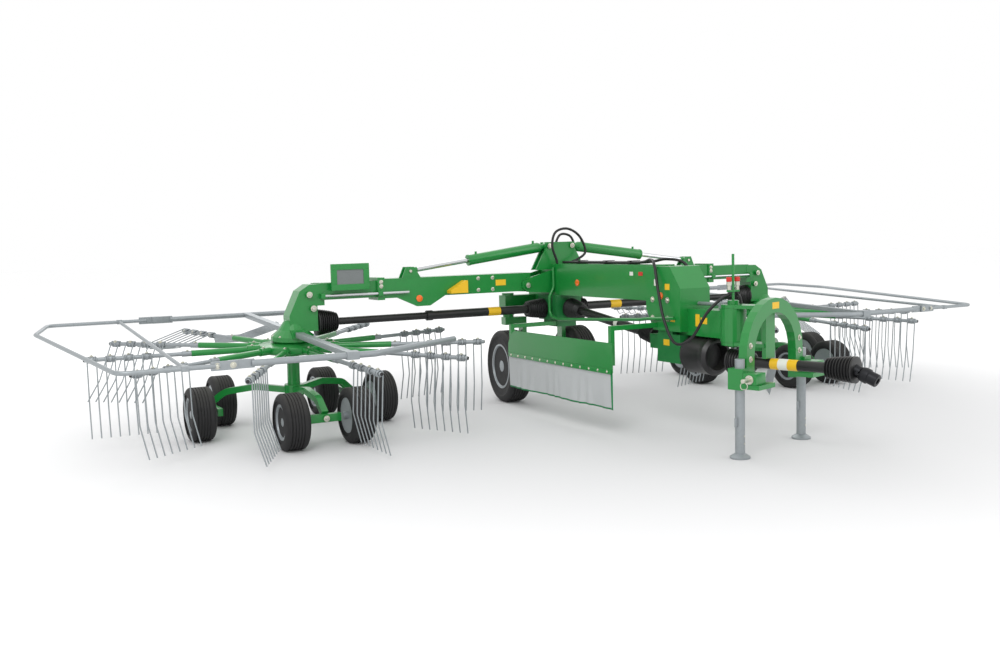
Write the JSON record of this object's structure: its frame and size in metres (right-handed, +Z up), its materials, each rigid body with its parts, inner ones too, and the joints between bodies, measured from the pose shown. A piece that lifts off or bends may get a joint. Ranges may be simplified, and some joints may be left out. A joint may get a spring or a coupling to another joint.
{
  "type": "twin rotor hay rake",
  "caption": "Towed centre-delivery hay rake with a box frame, swivelling headstock, lifting telescopic booms, tilted tine rotors on wheeled undercarriages and folding guards.",
  "frame": {"origin": "on the ground under the middle of the bounding box", "axes": "+Z up, the machine drives towards -Y, its left side is +X"},
  "size_m": [8.5682, 5.0233, 1.5802],
  "materials": {
    "green_paint": "satin paint",
    "galvanised": "galvanised",
    "black_plastic": "matt",
    "tyre": "matt rubber",
    "grey_fabric": "woven coated",
    "chrome_rod": "polished",
    "hose_rubber": "satin rubber",
    "yellow_plastic": "moulded",
    "board": "satin paint"
  },
  "bodies": {
    "frame": {"main_frame": "green_paint", "drive_housing": "green_paint", "centre_gearbox": "green_paint", "centre_shaft_guard": "black_plastic", "input_guard": "black_plastic", "guard_tube": "green_paint", "steering_rod": "galvanised", "curtain_panel": "green_paint", "curtain_sheet": "grey_fabric", "curtain_hanger_front": "green_paint", "curtain_hanger_rear": "green_paint", "hose_supply_a": "hose_rubber", "hose_supply_b": "hose_rubber", "hose_lift_left": "hose_rubber", "hose_lift_right": "hose_rubber"},
    "headstock": {"headstock_arch": "green_paint", "pto_shaft": "black_plastic"},
    "parking_leg_left": {"parking_leg_left": "galvanised"},
    "steering_knuckle_left": {"steering_knuckle_left": "green_paint"},
    "transport_wheel_left": {"transport_wheel_left": "tyre"},
    "boom_left": {"boom_left": "green_paint", "wheel_chock_left": "yellow_plastic", "side_shaft_inner_left": "black_plastic"},
    "rotor_head_left": {"rotor_head_left": "green_paint", "side_shaft_outer_left": "black_plastic", "undercarriage_left": "green_paint", "guard_front_left": "galvanised", "guard_rear_left": "galvanised"},
    "rotor_left": {"rotor_left": "galvanised"},
    "rotor_wheel_left_1": {"rotor_wheel_left_1": "tyre"},
    "rotor_wheel_left_2": {"rotor_wheel_left_2": "tyre"},
    "rotor_wheel_left_3": {"rotor_wheel_left_3": "tyre"},
    "rotor_wheel_left_4": {"rotor_wheel_left_4": "tyre"},
    "rotor_wheel_left_5": {"rotor_wheel_left_5": "tyre"},
    "rotor_wheel_left_6": {"rotor_wheel_left_6": "tyre"},
    "guard_fold_left": {"guard_fold_left": "galvanised"},
    "lift_barrel_left": {"lift_barrel_left": "green_paint"},
    "lift_rod_left": {"lift_rod_left": "chrome_rod"},
    "parking_leg_right": {"parking_leg_right": "galvanised"},
    "steering_knuckle_right": {"steering_knuckle_right": "green_paint"},
    "transport_wheel_right": {"transport_wheel_right": "tyre"},
    "boom_right": {"boom_right": "green_paint", "wheel_chock_right": "yellow_plastic", "side_shaft_inner_right": "black_plastic"},
    "rotor_head_right": {"rotor_head_right": "green_paint", "side_shaft_outer_right": "black_plastic", "undercarriage_right": "green_paint", "guard_front_right": "galvanised", "guard_rear_right": "galvanised", "sign_board": "board"},
    "rotor_right": {"rotor_right": "galvanised"},
    "rotor_wheel_right_1": {"rotor_wheel_right_1": "tyre"},
    "rotor_wheel_right_2": {"rotor_wheel_right_2": "tyre"},
    "rotor_wheel_right_3": {"rotor_wheel_right_3": "tyre"},
    "rotor_wheel_right_4": {"rotor_wheel_right_4": "tyre"},
    "rotor_wheel_right_5": {"rotor_wheel_right_5": "tyre"},
    "rotor_wheel_right_6": {"rotor_wheel_right_6": "tyre"},
    "guard_fold_right": {"guard_fold_right": "galvanised"},
    "lift_barrel_right": {"lift_barrel_right": "green_paint"},
    "lift_rod_right": {"lift_rod_right": "chrome_rod"}
  },
  "joints": [
    {"name": "headstock_yaw", "type": "hinge", "parent": "frame", "child": "headstock", "pos_m": [0, -1.4689, 0.85], "axis": [0, 0, 1], "range_deg": [-50, 18]},
    {"name": "parking_leg_slide_left", "type": "slide", "parent": "headstock", "child": "parking_leg_left", "axis": [0, 0, 1], "range_m": [0, 0.12]},
    {"name": "rear_steer_left", "type": "hinge", "parent": "frame", "child": "steering_knuckle_left", "pos_m": [0.36, 1.1411, 0.8], "axis": [0, 0, 1], "range_deg": [-8, 21]},
    {"name": "transport_wheel_spin_left", "type": "hinge", "parent": "steering_knuckle_left", "child": "transport_wheel_left", "pos_m": [0.36, 1.1411, 0.33], "axis": [0.9932, -0.1163, 0], "continuous": true},
    {"name": "boom_lift_left", "type": "hinge", "parent": "frame", "child": "boom_left", "pos_m": [0.36, 0.8911, 1.08], "axis": [0, -1, 0], "range_deg": [0, 65]},
    {"name": "boom_slide_left", "type": "slide", "parent": "boom_left", "child": "rotor_head_left", "axis": [1, 0, 0], "range_m": [-0.25, 0]},
    {"name": "rotor_spin_left", "type": "hinge", "parent": "rotor_head_left", "child": "rotor_left", "pos_m": [2.47, 0.8911, 0.68], "axis": [0, -0.048, 0.9988], "continuous": true},
    {"name": "wheel_spin_left_1", "type": "hinge", "parent": "rotor_head_left", "child": "rotor_wheel_left_1", "pos_m": [2.22, 0.1711, 0.21], "axis": [1, 0, 0], "continuous": true},
    {"name": "wheel_spin_left_2", "type": "hinge", "parent": "rotor_head_left", "child": "rotor_wheel_left_2", "pos_m": [1.73, 0.9311, 0.21], "axis": [1, 0, 0], "continuous": true},
    {"name": "wheel_spin_left_3", "type": "hinge", "parent": "rotor_head_left", "child": "rotor_wheel_left_3", "pos_m": [2.03, 1.5311, 0.21], "axis": [1, 0, 0], "continuous": true},
    {"name": "wheel_spin_left_4", "type": "hinge", "parent": "rotor_head_left", "child": "rotor_wheel_left_4", "pos_m": [2.72, 0.1711, 0.21], "axis": [1, 0, 0], "continuous": true},
    {"name": "wheel_spin_left_5", "type": "hinge", "parent": "rotor_head_left", "child": "rotor_wheel_left_5", "pos_m": [3.21, 0.9311, 0.21], "axis": [1, 0, 0], "continuous": true},
    {"name": "wheel_spin_left_6", "type": "hinge", "parent": "rotor_head_left", "child": "rotor_wheel_left_6", "pos_m": [2.91, 1.5311, 0.21], "axis": [1, 0, 0], "continuous": true},
    {"name": "guard_fold_hinge_left", "type": "hinge", "parent": "rotor_head_left", "child": "guard_fold_left", "pos_m": [3.27, 0.88558, 0.79487], "axis": [0, -0.9988, -0.048], "range_deg": [0, 110]},
    {"name": "lift_barrel_hinge_left", "type": "hinge", "parent": "frame", "child": "lift_barrel_left", "pos_m": [0.12, 0.8411, 1.42], "axis": [0, -1, 0], "range_deg": [-1, 62]},
    {"name": "lift_rod_slide_left", "type": "slide", "parent": "lift_barrel_left", "child": "lift_rod_left", "axis": [0.9917, 0, -0.1286], "range_m": [-0.447, 0.005]},
    {"name": "parking_leg_slide_right", "type": "slide", "parent": "headstock", "child": "parking_leg_right", "axis": [0, 0, 1], "range_m": [0, 0.12]},
    {"name": "rear_steer_right", "type": "hinge", "parent": "frame", "child": "steering_knuckle_right", "pos_m": [-0.36, 1.1411, 0.8], "axis": [0, 0, 1], "range_deg": [-8, 21]},
    {"name": "transport_wheel_spin_right", "type": "hinge", "parent": "steering_knuckle_right", "child": "transport_wheel_right", "pos_m": [-0.36, 1.1411, 0.33], "axis": [0.9932, -0.1163, 0], "continuous": true},
    {"name": "boom_lift_right", "type": "hinge", "parent": "frame", "child": "boom_right", "pos_m": [-0.36, 0.8911, 1.08], "axis": [0, 1, 0], "range_deg": [0, 65]},
    {"name": "boom_slide_right", "type": "slide", "parent": "boom_right", "child": "rotor_head_right", "axis": [-1, 0, 0], "range_m": [-0.25, 0]},
    {"name": "rotor_spin_right", "type": "hinge", "parent": "rotor_head_right", "child": "rotor_right", "pos_m": [-2.47, 0.8911, 0.68], "axis": [0, -0.048, 0.9988], "continuous": true},
    {"name": "wheel_spin_right_1", "type": "hinge", "parent": "rotor_head_right", "child": "rotor_wheel_right_1", "pos_m": [-2.72, 0.1711, 0.21], "axis": [1, 0, 0], "continuous": true},
    {"name": "wheel_spin_right_2", "type": "hinge", "parent": "rotor_head_right", "child": "rotor_wheel_right_2", "pos_m": [-3.21, 0.9311, 0.21], "axis": [1, 0, 0], "continuous": true},
    {"name": "wheel_spin_right_3", "type": "hinge", "parent": "rotor_head_right", "child": "rotor_wheel_right_3", "pos_m": [-2.91, 1.5311, 0.21], "axis": [1, 0, 0], "continuous": true},
    {"name": "wheel_spin_right_4", "type": "hinge", "parent": "rotor_head_right", "child": "rotor_wheel_right_4", "pos_m": [-2.22, 0.1711, 0.21], "axis": [1, 0, 0], "continuous": true},
    {"name": "wheel_spin_right_5", "type": "hinge", "parent": "rotor_head_right", "child": "rotor_wheel_right_5", "pos_m": [-1.73, 0.9311, 0.21], "axis": [1, 0, 0], "continuous": true},
    {"name": "wheel_spin_right_6", "type": "hinge", "parent": "rotor_head_right", "child": "rotor_wheel_right_6", "pos_m": [-2.03, 1.5311, 0.21], "axis": [1, 0, 0], "continuous": true},
    {"name": "guard_fold_hinge_right", "type": "hinge", "parent": "rotor_head_right", "child": "guard_fold_right", "pos_m": [-3.27, 0.88558, 0.79487], "axis": [0, 0.9988, 0.048], "range_deg": [0, 110]},
    {"name": "lift_barrel_hinge_right", "type": "hinge", "parent": "frame", "child": "lift_barrel_right", "pos_m": [-0.12, 0.8411, 1.42], "axis": [0, 1, 0], "range_deg": [-1, 62]},
    {"name": "lift_rod_slide_right", "type": "slide", "parent": "lift_barrel_right", "child": "lift_rod_right", "axis": [-0.9917, 0, -0.1286], "range_m": [-0.447, 0.005]}
  ],
  "couplings": [
    {"joint": "rear_steer_left", "follows": "headstock_yaw", "ratio": -0.4},
    {"joint": "lift_barrel_hinge_left", "follows": "boom_lift_left", "ratio": 0.92509},
    {"joint": "lift_rod_slide_left", "follows": "boom_lift_left", "m_per_rad": -0.38516},
    {"joint": "rear_steer_right", "follows": "headstock_yaw", "ratio": -0.4},
    {"joint": "lift_barrel_hinge_right", "follows": "boom_lift_right", "ratio": 0.92509},
    {"joint": "lift_rod_slide_right", "follows": "boom_lift_right", "m_per_rad": -0.38516}
  ]
}
